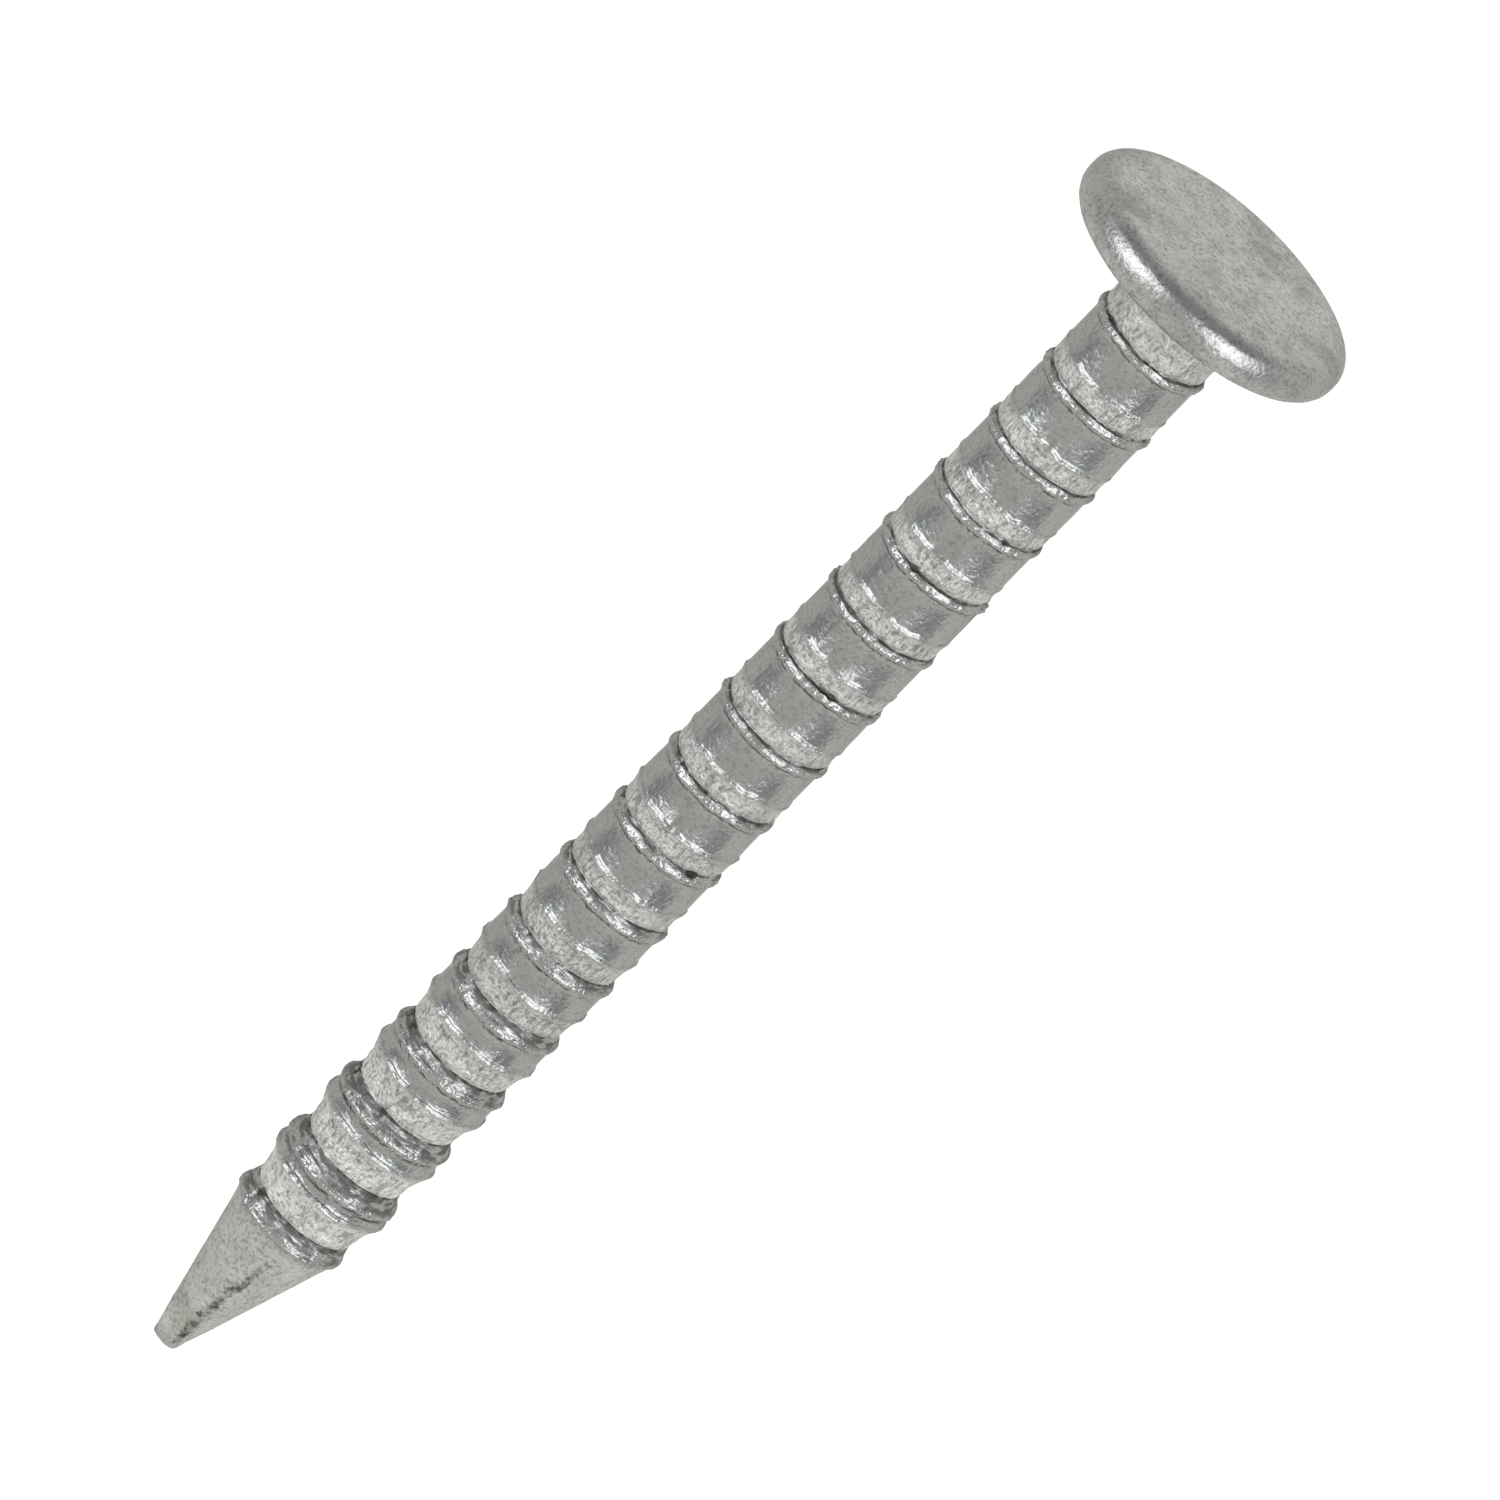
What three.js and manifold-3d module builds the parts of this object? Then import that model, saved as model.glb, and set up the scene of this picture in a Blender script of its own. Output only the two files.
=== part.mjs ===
// Ring-shank nail with a hot-dip zinc coat. Lengths are in millimetres.
// The nail is one piece of wire: the head is forged on one end, the other end is pinched to
// a four-sided point, rings are rolled into the shank, and the whole nail is dipped in zinc.
// +Z runs up the nail's axis. The origin is on the axis, level with the head's underside,
// so the head is above it and the shank hangs below it with the point down.

import * as THREE from "three";
import { mergeVertices } from "three/addons/utils/BufferGeometryUtils.js";
import Module from "manifold-3d";

// Shank: sizes of the wire and its coat.
const LENGTH = 31.75; // from the head's underside to the end of the point
const WIRE_DIAMETER = 2.51; // bare wire
const ZINC_THICKNESS = 0.045; // coat on the wire, each side

// Head: sizes over the coat.
const HEAD_DIAMETER = 6.55;
const HEAD_THICKNESS = 0.95;
const RIM_RADIUS = 0.42; // rounding of the rim's upper and lower edge
const NECK_FILLET = 0.2; // fillet between the shank and the head's underside

// Point: a cone with four flats pressed into it.
const POINT_LENGTH = 3.68;
const TIP_DIAMETER = 0.6; // the blunt end of the cone
const TIP_ACROSS_FLATS = 0.4;
const TIP_ROUNDING = 0.1; // rounding of the blunt end's edge
const POINT_FLATS = 4;

// Rings: each ring is a land whose head-side end stands up as a lip and drops over a shoulder
// into a groove, which rises again to the next land. The roll bites deepest near the point,
// where the lands are short and each land's first edge stands as high as its lip.
const RING_PITCH = 1.645;
const FIRST_SHOULDER = 0.34; // from the base of the point to the first shoulder, before crowding
const PLAIN_NECK = 1.2; // the least plain shank between the last shoulder and the head
const CROWDING = 0.25; // the most that rings lie closer to the point than even spacing
const CROWDED_RING = 1.5; // where the crowding is greatest, in rings from the first
const CROWDED_REACH = 3; // rings over which the crowding fades on each side of it
const ROLL_FADE = 5; // rings over which the shape near the point gives way to the other
const LAND_LENGTH = { point: 0.4, head: 1.1 };
const LAND_RISE = { point: 0.06, head: 0.01 }; // the land above the plain shank
const EDGE_RISE = { point: 0.13, head: 0.015 }; // the land's first edge above the plain shank
const FIRST_LIP_RISE = 0.04; // the first ring's lip above the plain shank
const LIP_RISE = 0.05; // every other lip above its land
const LIP_LENGTH = 0.2; // from the lip's foot on the land to its top
const GROOVE_DEPTH = { point: 0.09, head: 0.01 }; // the groove below the plain shank
const SHOULDER_RUN = { point: 0.38, head: 0.09 }; // length of the drop from lip to groove
const GROOVE_HOLLOW = 0.55; // how far the groove's rise sags below a straight line

// Fineness of the facets.
const ROUND_SEGMENTS = 40;
const ARC_SEGMENTS = 5;

const shankRadius = WIRE_DIAMETER / 2 + ZINC_THICKNESS;
const headRadius = HEAD_DIAMETER / 2;
const pointBase = -LENGTH + POINT_LENGTH;
// Two rim roundings fit within the head's thickness with a narrow straight band between them.
const rimRadius = Math.min(RIM_RADIUS, 0.48 * HEAD_THICKNESS);

// A ring's value of a size that changes along the shank; ring 0 is nearest the point.
function alongShank(size, ring) {
  const nearPoint = Math.exp(-((ring / ROLL_FADE) ** 2));
  return size.head + (size.point - size.head) * nearPoint;
}

// The height of a ring's shoulder.
function shoulderHeight(ring) {
  const crowding = CROWDING * Math.exp(-(((ring - CROWDED_RING) / CROWDED_REACH) ** 2));
  return pointBase + FIRST_SHOULDER + ring * RING_PITCH - crowding;
}

// Points of an arc in the profile's plane, from one angle to another, as (radius, height).
function arc(centreRadius, centreHeight, radius, fromAngle, toAngle) {
  const points = [];
  for (let step = 0; step <= ARC_SEGMENTS; step++) {
    const angle = fromAngle + ((toAngle - fromAngle) * step) / ARC_SEGMENTS;
    points.push(
      new THREE.Vector2(
        centreRadius + radius * Math.cos(angle),
        centreHeight + radius * Math.sin(angle),
      ),
    );
  }
  return points;
}

// The blunt end, then the cone's foot; its slope ends where the first ring starts.
function pointProfile() {
  const tipRadius = TIP_DIAMETER / 2;
  const rounding = Math.min(TIP_ROUNDING, 0.5 * tipRadius);
  return [
    new THREE.Vector2(0, -LENGTH),
    ...arc(tipRadius - rounding, -LENGTH + rounding, rounding, -Math.PI / 2, 0),
    new THREE.Vector2(shankRadius, pointBase),
  ];
}

// The rings from the point to the neck, as many as the shank has room for. The first ring has
// only its lip, because its land is the base of the point.
function ringProfile() {
  const room = LENGTH - POINT_LENGTH - FIRST_SHOULDER - PLAIN_NECK;
  const ringCount = Math.floor(room / RING_PITCH) + 1;
  const points = [];
  for (let ring = 0; ring < ringCount; ring++) {
    const first = ring === 0;
    const last = ring === ringCount - 1;
    const shoulder = shoulderHeight(ring);
    const land = shankRadius + alongShank(LAND_RISE, ring);
    const lip = first ? shankRadius + FIRST_LIP_RISE : land + LIP_RISE;
    const groove = shankRadius - alongShank(GROOVE_DEPTH, ring);
    const grooveStart = shoulder + alongShank(SHOULDER_RUN, ring);
    const nextEdge = last ? shankRadius : shankRadius + alongShank(EDGE_RISE, ring + 1);
    const grooveEnd = shoulderHeight(ring + 1) - alongShank(LAND_LENGTH, ring + 1);
    const middle = (grooveStart + grooveEnd) / 2;
    const sag = (GROOVE_HOLLOW * (nextEdge - groove)) / 2;
    if (!first) {
      points.push(new THREE.Vector2(land, shoulder - LIP_LENGTH));
    }
    points.push(new THREE.Vector2(lip, shoulder));
    points.push(new THREE.Vector2(groove, grooveStart));
    points.push(new THREE.Vector2((groove + nextEdge) / 2 - sag, middle));
    points.push(new THREE.Vector2(nextEdge, grooveEnd));
  }
  return points;
}

// The neck's fillet, the head's flat underside, its rounded rim and its flat top.
function headProfile() {
  const rimCentre = headRadius - rimRadius;
  return [
    ...arc(shankRadius + NECK_FILLET, -NECK_FILLET, NECK_FILLET, Math.PI, Math.PI / 2),
    ...arc(rimCentre, rimRadius, rimRadius, -Math.PI / 2, 0),
    ...arc(rimCentre, HEAD_THICKNESS - rimRadius, rimRadius, 0, Math.PI / 2),
    new THREE.Vector2(0, HEAD_THICKNESS),
  ];
}

// The wire with its head, rings and conical point, revolved about the axis.
function blankGeometry() {
  const profile = [...pointProfile(), ...ringProfile(), ...headProfile()];
  const blank = new THREE.LatheGeometry(profile, ROUND_SEGMENTS);
  return blank.rotateX(Math.PI / 2);
}

// A die block whose inner face is one flat of the point. The face runs from half the width
// across flats, at the end of the point, out to the shank's surface at the base of the point.
function dieGeometry(flat) {
  const tipDistance = TIP_ACROSS_FLATS / 2;
  const slope = Math.atan((shankRadius - tipDistance) / POINT_LENGTH);
  const overrun = TIP_DIAMETER; // how far the die reaches past the end of the point
  const faceLength = POINT_LENGTH / Math.cos(slope);
  const width = 4 * shankRadius;
  const die = new THREE.BoxGeometry(width, width, faceLength + overrun);
  die.translate(width / 2, 0, -(faceLength + overrun) / 2);
  die.rotateY(slope);
  die.translate(shankRadius, 0, pointBase);
  return die.rotateZ((flat * 2 * Math.PI) / POINT_FLATS);
}

const wasm = await Module();
wasm.setup();

// A closed geometry as a solid that can be cut.
function toSolid(geometry) {
  geometry.deleteAttribute("normal");
  geometry.deleteAttribute("uv");
  const merged = mergeVertices(geometry);
  return new wasm.Manifold(
    new wasm.Mesh({
      numProp: 3,
      vertProperties: merged.getAttribute("position").array,
      triVerts: new Uint32Array(merged.getIndex().array),
    }),
  );
}

// A solid as a geometry that can be drawn.
function toGeometry(solid) {
  const mesh = solid.getMesh();
  const geometry = new THREE.BufferGeometry();
  geometry.setAttribute("position", new THREE.BufferAttribute(mesh.vertProperties, mesh.numProp));
  geometry.setIndex(new THREE.BufferAttribute(mesh.triVerts, 1));
  geometry.computeVertexNormals();
  return geometry;
}

function nailGeometry() {
  let solid = toSolid(blankGeometry());
  for (let flat = 0; flat < POINT_FLATS; flat++) {
    solid = solid.subtract(toSolid(dieGeometry(flat)));
  }
  return toGeometry(solid);
}

const galvanisedSteel = new THREE.MeshStandardMaterial({
  color: 0x9b9c97,
  roughness: 0.45,
  metalness: 0.85,
});

const nail = new THREE.Mesh(nailGeometry(), galvanisedSteel);
nail.name = "nail";

const part = new THREE.Group();
part.add(nail);

export default part;
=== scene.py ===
"""Looks of a hot-dip galvanised ring-shank nail, built round its CAD frame.

The CAD nail gives every size that matters: the head, the shank, the point and the place of
each ring. This script reads those from the frame and makes the surface that the real nail
has: rolled rings with ragged edges, rough grooves, smooth lands, a pinched point, a rounded
rim and the lumps, grime and mottling of the zinc coat. Shade is painted into the colour as
well: dark in the crevices under the shoulders, in the pockets and in the pits of the relief.
"""

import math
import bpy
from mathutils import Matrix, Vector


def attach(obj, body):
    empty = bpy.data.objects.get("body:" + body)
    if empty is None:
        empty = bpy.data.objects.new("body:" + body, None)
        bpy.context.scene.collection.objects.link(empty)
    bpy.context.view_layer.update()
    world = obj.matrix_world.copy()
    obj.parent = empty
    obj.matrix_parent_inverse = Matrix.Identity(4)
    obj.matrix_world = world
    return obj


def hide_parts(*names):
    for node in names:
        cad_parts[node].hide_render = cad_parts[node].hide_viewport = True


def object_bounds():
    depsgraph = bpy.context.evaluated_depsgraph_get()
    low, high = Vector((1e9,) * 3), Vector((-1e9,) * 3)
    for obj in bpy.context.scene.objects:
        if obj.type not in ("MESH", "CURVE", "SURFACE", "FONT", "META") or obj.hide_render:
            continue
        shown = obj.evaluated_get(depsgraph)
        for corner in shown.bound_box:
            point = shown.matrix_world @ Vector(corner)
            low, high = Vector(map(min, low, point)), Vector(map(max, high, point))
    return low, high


bl_info = {
    "name": "Galvanised Ring-Shank Nail",
    "version": (1, 0, 0),
    "blender": (4, 5, 0),
    "location": "3D View > Sidebar > Nail",
    "description": "Builds the surface, finish and studio of a galvanised ring-shank nail",
    "category": "Object",
}

from types import SimpleNamespace

import bpy
import numpy as np
from bpy.props import FloatProperty, FloatVectorProperty, IntProperty, PointerProperty
from mathutils import Matrix, Vector

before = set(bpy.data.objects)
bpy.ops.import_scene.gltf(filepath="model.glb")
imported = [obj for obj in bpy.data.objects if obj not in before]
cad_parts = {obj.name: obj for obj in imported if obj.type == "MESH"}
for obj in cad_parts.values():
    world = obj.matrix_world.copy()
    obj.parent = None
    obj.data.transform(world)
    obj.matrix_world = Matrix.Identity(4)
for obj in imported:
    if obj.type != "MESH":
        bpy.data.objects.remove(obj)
cad_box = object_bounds()

MM = 0.001  # millimetres to Blender's metres
TURN = 2.0 * math.pi
NODE = "nail"
SLOT = "galvanised_steel"
COLUMNS = 256  # points round the nail
POINT_SIDES = 4


# ---------------------------------------------------------------------------------------
# What the CAD nail says
# ---------------------------------------------------------------------------------------

def read_cad_nail():
    """The CAD nail's sizes and ring edges in millimetres, as a dictionary.

    The solid's corners are grouped by height, and the widest corner at each height gives
    the profile. A height with nearly as many corners as the others is an edge that runs all
    the way round; between the blunt end and the base of the point the flats leave none.
    From that base up, each ring has five edges: the foot of its lip, the lip, and the
    bottom, the middle and the end of its groove.
    """
    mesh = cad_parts[NODE].data
    points = np.empty(3 * len(mesh.vertices), np.float32)
    mesh.vertices.foreach_get("co", points)
    points = points.reshape(-1, 3) / MM
    heights, level, counts = np.unique(
        points[:, 2].round(3), return_inverse=True, return_counts=True
    )
    radii = np.zeros(len(heights))
    np.maximum.at(radii, level.ravel(), np.hypot(points[:, 0], points[:, 1]))
    whole = counts > 0.75 * np.median(counts)
    whole[0] = False
    edge_heights, edge_radii = heights[whole], radii[whole]
    head_foot = np.nonzero(edge_heights >= 0.0)[0][0]
    shank_radius = edge_radii[0]
    neck = np.nonzero(np.isclose(edge_radii[:head_foot], shank_radius, atol=0.002))[0][-1]
    edges = np.stack([edge_heights[:neck], edge_radii[:neck]], axis=1)
    return {
        "end": heights[0],
        "point_base": edge_heights[0],
        "shank_radius": shank_radius,
        "rings": edges.reshape(-1, 5, 2),
        "neck": edge_heights[neck],
        "head_radius": radii.max(),
        "head_thickness": heights[-1],
        "flat_radius": edge_radii[-1],
    }


CAD = read_cad_nail()


# ---------------------------------------------------------------------------------------
# Sizes and colours that a user would change
# ---------------------------------------------------------------------------------------

def length_property(name, description, millimetres):
    """A length setting whose default is given in millimetres."""
    return FloatProperty(
        name=name,
        description=description,
        default=millimetres * MM,
        min=0.0,
        precision=6,
        subtype="DISTANCE",
        unit="LENGTH",
    )


def angle_property(name, description, degrees):
    """An angle setting whose default is given in degrees."""
    return FloatProperty(
        name=name, description=description, default=math.radians(degrees),
        unit="ROTATION", subtype="ANGLE",
    )


def share_property(name, description, default):
    """A setting between 0 and 1."""
    return FloatProperty(name=name, description=description, default=default, min=0.0, max=1.0)


def colour_property(name, description, default):
    """A colour setting, as linear red, green and blue."""
    return FloatVectorProperty(
        name=name, description=description, default=default, min=0.0, max=1.0,
        size=3, subtype="COLOR",
    )


class NailShape(bpy.types.PropertyGroup):
    tip_radius: length_property("Tip radius", "Half the width of the blunt end", 0.35)
    tip_lean: length_property("Tip lean", "How far the point ends beside the axis", 0.16)
    ridge_burr: length_property("Ridge burr", "Height of the burr between two flats", 0.045)
    edge_wander: length_property("Edge wander", "How far a land's ragged edge strays", 0.08)
    shoulder_wander: length_property("Shoulder wander", "How far a shoulder strays", 0.035)
    lip_lumps: length_property("Lip lumps", "Height of the beads of zinc on a lip", 0.032)
    edge_lumps: length_property("Edge lumps", "Roughness of a land's first edge", 0.012)
    groove_lumps: length_property("Groove lumps", "Roughness of the groove's floor", 0.012)
    pocket_depth: length_property("Pocket depth", "Depth of the holes in the shoulders", 0.05)
    dross_height: length_property("Dross height", "Height of the largest zinc lumps", 0.03)
    wire_waves: length_property("Wire waves", "Broad unevenness of the shank", 0.010)
    rim_dents: length_property("Rim dents", "Unevenness of the rim and the face", 0.014)
    head_shift: length_property("Head shift", "How far the head is off the axis", 0.06)
    head_tilt: angle_property(
        "Head tilt", "How far the head is out of square with the shank", 1.2
    )
    bend_azimuth: angle_property(
        "Bend azimuth", "Way from the axis in which the tip and the head are off it", 14.0
    )
    seed: IntProperty(name="Seed", description="Chooses the random lumps", default=7)


class NailColours(bpy.types.PropertyGroup):
    zinc: colour_property("Zinc", "Clean zinc on the lands", (0.43, 0.437, 0.425))
    zinc_matt: colour_property("Matt zinc", "Zinc in the grooves and on the face",
                               (0.74, 0.745, 0.71))
    # Paler zinc in the grooves near the point.
    zinc_pale: colour_property("Pale zinc", "Paler zinc in the grooves near the point",
                               (0.98, 0.985, 0.95))
    zinc_dull: colour_property("Dull zinc", "The darker mottling", (0.30, 0.303, 0.290))
    # This colour is grime and painted shade: it darkens the crevices under the shoulders, the
    # pockets, the crease behind the blunt end, the fillet under the head and the point's
    # ridges.
    grime: colour_property("Grime", "What lies in the shoulders", (0.060, 0.052, 0.044))
    stain: colour_property("Stain", "Faint rusty bloom on the head", (0.36, 0.31, 0.24))
    land_roughness: share_property("Land roughness", "Gloss of the smooth lands", 0.21)
    groove_roughness: share_property(
        "Groove roughness", "Gloss of the grooves and the face", 0.5
    )


class NailStudio(bpy.types.PropertyGroup):
    azimuth: angle_property("Azimuth", "Camera's turn about the nail", 14.0)
    elevation: angle_property("Elevation", "Camera's height above level", 22.0)
    lean: angle_property("Lean", "Angle of the nail above the picture's level", 45.6)
    picture_width: length_property("Picture width", "Width seen at the nail", 30.0)
    camera_distance: length_property("Camera distance", "From the nail", 600.0)
    aim_above: length_property("Aim above", "Camera's aim above the nail's middle", 1.69)
    aim_aside: length_property("Aim aside", "Camera's aim to the left of the axis", 0.03)
    softbox_azimuth: angle_property("Softbox azimuth", "To each side of the camera", 48.0)
    softbox_elevation: angle_property("Softbox elevation", "Height above level", 23.0)
    softbox_distance: length_property("Softbox distance", "From the nail", 350.0)
    softbox_width: length_property("Softbox width", "Width of each softbox", 250.0)
    softbox_height: length_property("Softbox height", "Height of each softbox", 440.0)
    softbox_radiance: FloatProperty(
        name="Softbox radiance", description="Brightness of a softbox's face", default=2.4,
        min=0.0,
    )
    softbox_colour: colour_property("Softbox colour", "Colour of the light", (0.97, 0.98, 1.0))
    room_side: colour_property("Room beside", "Room at each side", (0.33, 0.342, 0.385))
    room_front: colour_property("Room in front", "Room behind the camera", (0.70, 0.712, 0.69))
    card_left: colour_property("Card left", "Sweep at the left", (0.80, 0.80, 0.76))
    card_right: colour_property("Card right", "Sweep at the right", (0.92, 0.92, 0.872))
    ceiling: colour_property("Ceiling", "Ceiling over the nail", (0.42, 0.43, 0.45))
    floor_drop: length_property("Floor drop", "From the nail's end down to the floor", 12.0)


# ---------------------------------------------------------------------------------------
# Smooth random heights
# ---------------------------------------------------------------------------------------

def ease(t):
    """An S-shaped step: 3t^2 - 2t^3 with t held between 0 and 1."""
    t = np.clip(t, 0.0, 1.0)
    return t * t * (3.0 - 2.0 * t)


def tube_noise(angle, along, cells_around, cell_length, seed, blend=ease):
    """Smooth random values from -1 to 1 on a tube.

    A random number stands at each crossing of a lattice wrapped round the tube, with
    cells_around cells in a turn and each cell cell_length long. A point blends the four
    nearest numbers both ways, by the S-shaped step unless another blend is given, so the
    pattern meets itself.
    """
    across = np.mod(angle / TURN, 1.0) * cells_around
    up = (along - CAD["end"] + 1.0) / cell_length
    column = np.floor(across).astype(int)
    row = np.floor(up).astype(int)
    numbers = np.random.default_rng(seed).uniform(-1.0, 1.0, (row.max() + 2, cells_around))
    blend_across, blend_up = blend(across - column), blend(up - row)
    left, right = column % cells_around, (column + 1) % cells_around
    lower = numbers[row, left] * (1.0 - blend_across) + numbers[row, right] * blend_across
    upper = numbers[row + 1, left] * (1.0 - blend_across)
    upper = upper + numbers[row + 1, right] * blend_across
    return lower * (1.0 - blend_up) + upper * blend_up


def rough_noise(angle, along, cells_around, cell_length, seed, octaves=3):
    """Tube noise at several sizes: each octave has half the cell and 0.55 of the height."""
    total, share, weight = 0.0, 1.0, 0.0
    for octave in range(octaves):
        scale = 2 ** octave
        total = total + share * tube_noise(
            angle, along, cells_around * scale, cell_length / scale, seed + octave
        )
        weight += share
        share *= 0.55
    return total / weight


def ragged_noise(angle, along, cells_around, cell_length, seed):
    """Tube noise with straight blends, so that a line that follows it zigzags."""
    return tube_noise(angle, along, cells_around, cell_length, seed, blend=lambda t: t)


# ---------------------------------------------------------------------------------------
# The profile, as rows of points from the end of the point to the top of the head
# ---------------------------------------------------------------------------------------

# A row's fields: height and radius in millimetres, then how much of each feature it has,
# the ring it belongs to, and how far it follows the straying of a shoulder and of an edge.
FIELDS = ("height", "radius", "point", "groove", "lip", "edge", "wrinkle", "pocket", "grime",
          "scale", "face", "worn", "ring", "shoulder_sway", "edge_sway")

CONE_STEPS = 18  # rows up the point
EDGE_BEAD = 0.012  # zinc that stands up on a land's first edge
EDGE_LENGTH = 0.10  # from a land's first edge to where its flat starts
LIP_BEAD = 0.013  # zinc that stands up on a lip
CREVICE = 0.016  # depth of the crevice under a shoulder
FACE_RISE = 0.012  # the face's middle above the CAD face
RIM_REACH = 1.3  # width of the rim's upper rounding, as a share of its height


def row(height, radius, **features):
    """One row of the profile; a feature that isn't given is 0."""
    values = dict.fromkeys(FIELDS, 0.0)
    values.update(height=height, radius=radius, **features)
    return [values[field] for field in FIELDS]


def point_rows(shape):
    """The point: a blunt end with a rounded rim and a straight cone up to the first lip."""
    tip = shape.tip_radius / MM
    end, base, shank = CAD["end"], CAD["point_base"], CAD["shank_radius"]
    rows = [
        row(end - 0.07, 0.40 * tip, point=1.0, face=0.3),
        row(end - 0.06, 0.74 * tip, point=1.0, face=0.3),
        row(end - 0.02, 0.95 * tip, point=1.0, face=0.3),
        row(end + 0.07, 1.03 * tip, point=1.0, face=0.3),
        # Grime and painted shade in the crease behind the blunt end's rim.
        row(end + 0.14, 1.05 * tip, point=1.0, grime=0.5, face=0.8),
        row(end + 0.22, 1.11 * tip, point=1.0, grime=0.2, face=0.8),
    ]
    start, start_radius = rows[-1][0], rows[-1][1]
    for step in range(1, CONE_STEPS + 1):
        part = step / CONE_STEPS
        height = start + part * (base - start)
        radius = start_radius + part * (shank - 0.02 - start_radius)
        rows.append(row(height, radius, point=1.0 - 0.5 * part ** 5, face=0.8))
    return rows


def land_rows(number, start, foot, lip):
    """A ring's land: its raised ragged first edge, its flat, and the foot of its lip.

    start, foot and lip are CAD edges, each a height and a radius. Near the point, where the
    first edge stands well above the flat, the foot rises more evenly to the lip.
    """
    (start_z, start_r), (foot_z, foot_r) = start, foot
    rise, lip_rise = start_r - foot_r, lip[1] - foot_r
    deep = ease(rise / 0.06)
    flat_z = start_z + EDGE_LENGTH
    edge_sway = {"edge_sway": 1.0, "ring": number}
    lip_sway = {"shoulder_sway": 1.0, "ring": number}
    return [
        row(start_z, start_r + EDGE_BEAD, edge=1.0, groove=0.2, **edge_sway),
        row(start_z + 0.016, start_r + EDGE_BEAD - 0.05 * rise, edge=0.9, **edge_sway),
        row(start_z + 0.045, foot_r + 0.3 * rise - 0.002, edge=0.2, scale=0.3, **edge_sway),
        row(flat_z, foot_r + 0.06 * rise - 0.003, **edge_sway),
        row(0.5 * (flat_z + foot_z), foot_r - 0.004, edge_sway=0.5, shoulder_sway=0.5,
            ring=number),
        row(foot_z - 0.02, foot_r - 0.003, **lip_sway),
        row(foot_z + 0.04, foot_r + (0.3 + 0.12 * deep) * lip_rise, lip=0.5, **lip_sway),
    ]


def groove_rows(number, lip, bottom, middle, end):
    """A ring's lip, the scaly drop over its shoulder, the crevice under it, where grime and
    painted shade darken the colour, and the rough, slowly rising floor of its groove.

    The arguments after the ring's number are CAD edges. Where the fall is deep the lip is a
    narrower crest and more of the drop is scaly.
    """
    (lip_z, lip_r), (bottom_z, bottom_r), (middle_z, middle_r), (end_z, end_r) = (
        lip, bottom, middle, end
    )
    drop, fall, floor = bottom_z - lip_z, lip_r - bottom_r, middle_z - bottom_z
    deep = ease((fall - 0.08) / 0.08)
    sway = {"shoulder_sway": 1.0, "ring": number}
    return [
        row(lip_z - 0.115 + 0.015 * deep, lip_r - 0.002 - 0.008 * deep, lip=1.0, **sway),
        row(lip_z - 0.070 + 0.015 * deep, lip_r + LIP_BEAD - 0.005 * deep, lip=1.0, **sway),
        row(lip_z - 0.020, lip_r - 0.002 + 0.004 * deep, lip=1.0, **sway),
        row(lip_z + 0.10 * drop, lip_r - 0.006 - 0.32 * fall, lip=0.6,
            scale=0.5 + 0.4 * deep, pocket=0.3, **sway),
        row(lip_z + 0.45 * drop, lip_r - 0.74 * fall, lip=0.3, scale=1.0, grime=0.2,
            pocket=1.0, **sway),
        row(bottom_z - 0.045, bottom_r + 0.05 * fall, scale=1.0, grime=0.6, pocket=1.0, **sway),
        row(bottom_z - 0.010, bottom_r - CREVICE, scale=0.7, grime=1.0, pocket=1.0, **sway),
        row(bottom_z + 0.025, bottom_r + 0.002, groove=0.8, grime=0.1, pocket=0.5, **sway),
        row(bottom_z + 0.28 * floor, bottom_r + 0.010, shoulder_sway=0.95, groove=0.9,
            pocket=0.3, ring=number),
        row(bottom_z + 0.60 * floor, 0.40 * bottom_r + 0.60 * middle_r + 0.002,
            shoulder_sway=0.7, edge_sway=0.1, groove=1.0, pocket=0.1, wrinkle=0.2,
            ring=number),
        row(middle_z, middle_r, shoulder_sway=0.4, edge_sway=0.4, groove=1.0, wrinkle=0.6,
            ring=number),
        row(0.5 * (middle_z + end_z), 0.55 * middle_r + 0.45 * end_r - 0.004, edge_sway=0.8,
            groove=1.0, wrinkle=1.0, ring=number + 0.5),
    ]


def neck_rows():
    """The plain neck above the last groove, and the fillet that carries it into the head."""
    last_z, last_r = CAD["rings"][-1][4]
    neck, shank, count = CAD["neck"], CAD["shank_radius"], len(CAD["rings"])
    rows = [
        row(last_z, last_r + 0.008, edge=0.8, edge_sway=1.0, groove=0.4, ring=count),
        row(last_z + 0.06, shank, groove=0.6, edge_sway=0.8, ring=count),
        row(last_z + 0.3, shank, groove=0.7),
        row(0.4 * last_z + 0.6 * neck, shank, groove=0.7),
        row(neck, shank, groove=0.7),
    ]
    # The fillet is darkened a little with grime and painted shade under the head.
    fillet = -neck
    for angle in np.radians((25.0, 50.0, 72.0)):
        rows.append(
            row(neck + fillet * math.sin(angle), shank + fillet * (1.0 - math.cos(angle)),
                groove=0.8, grime=0.25)
        )
    return rows


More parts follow.
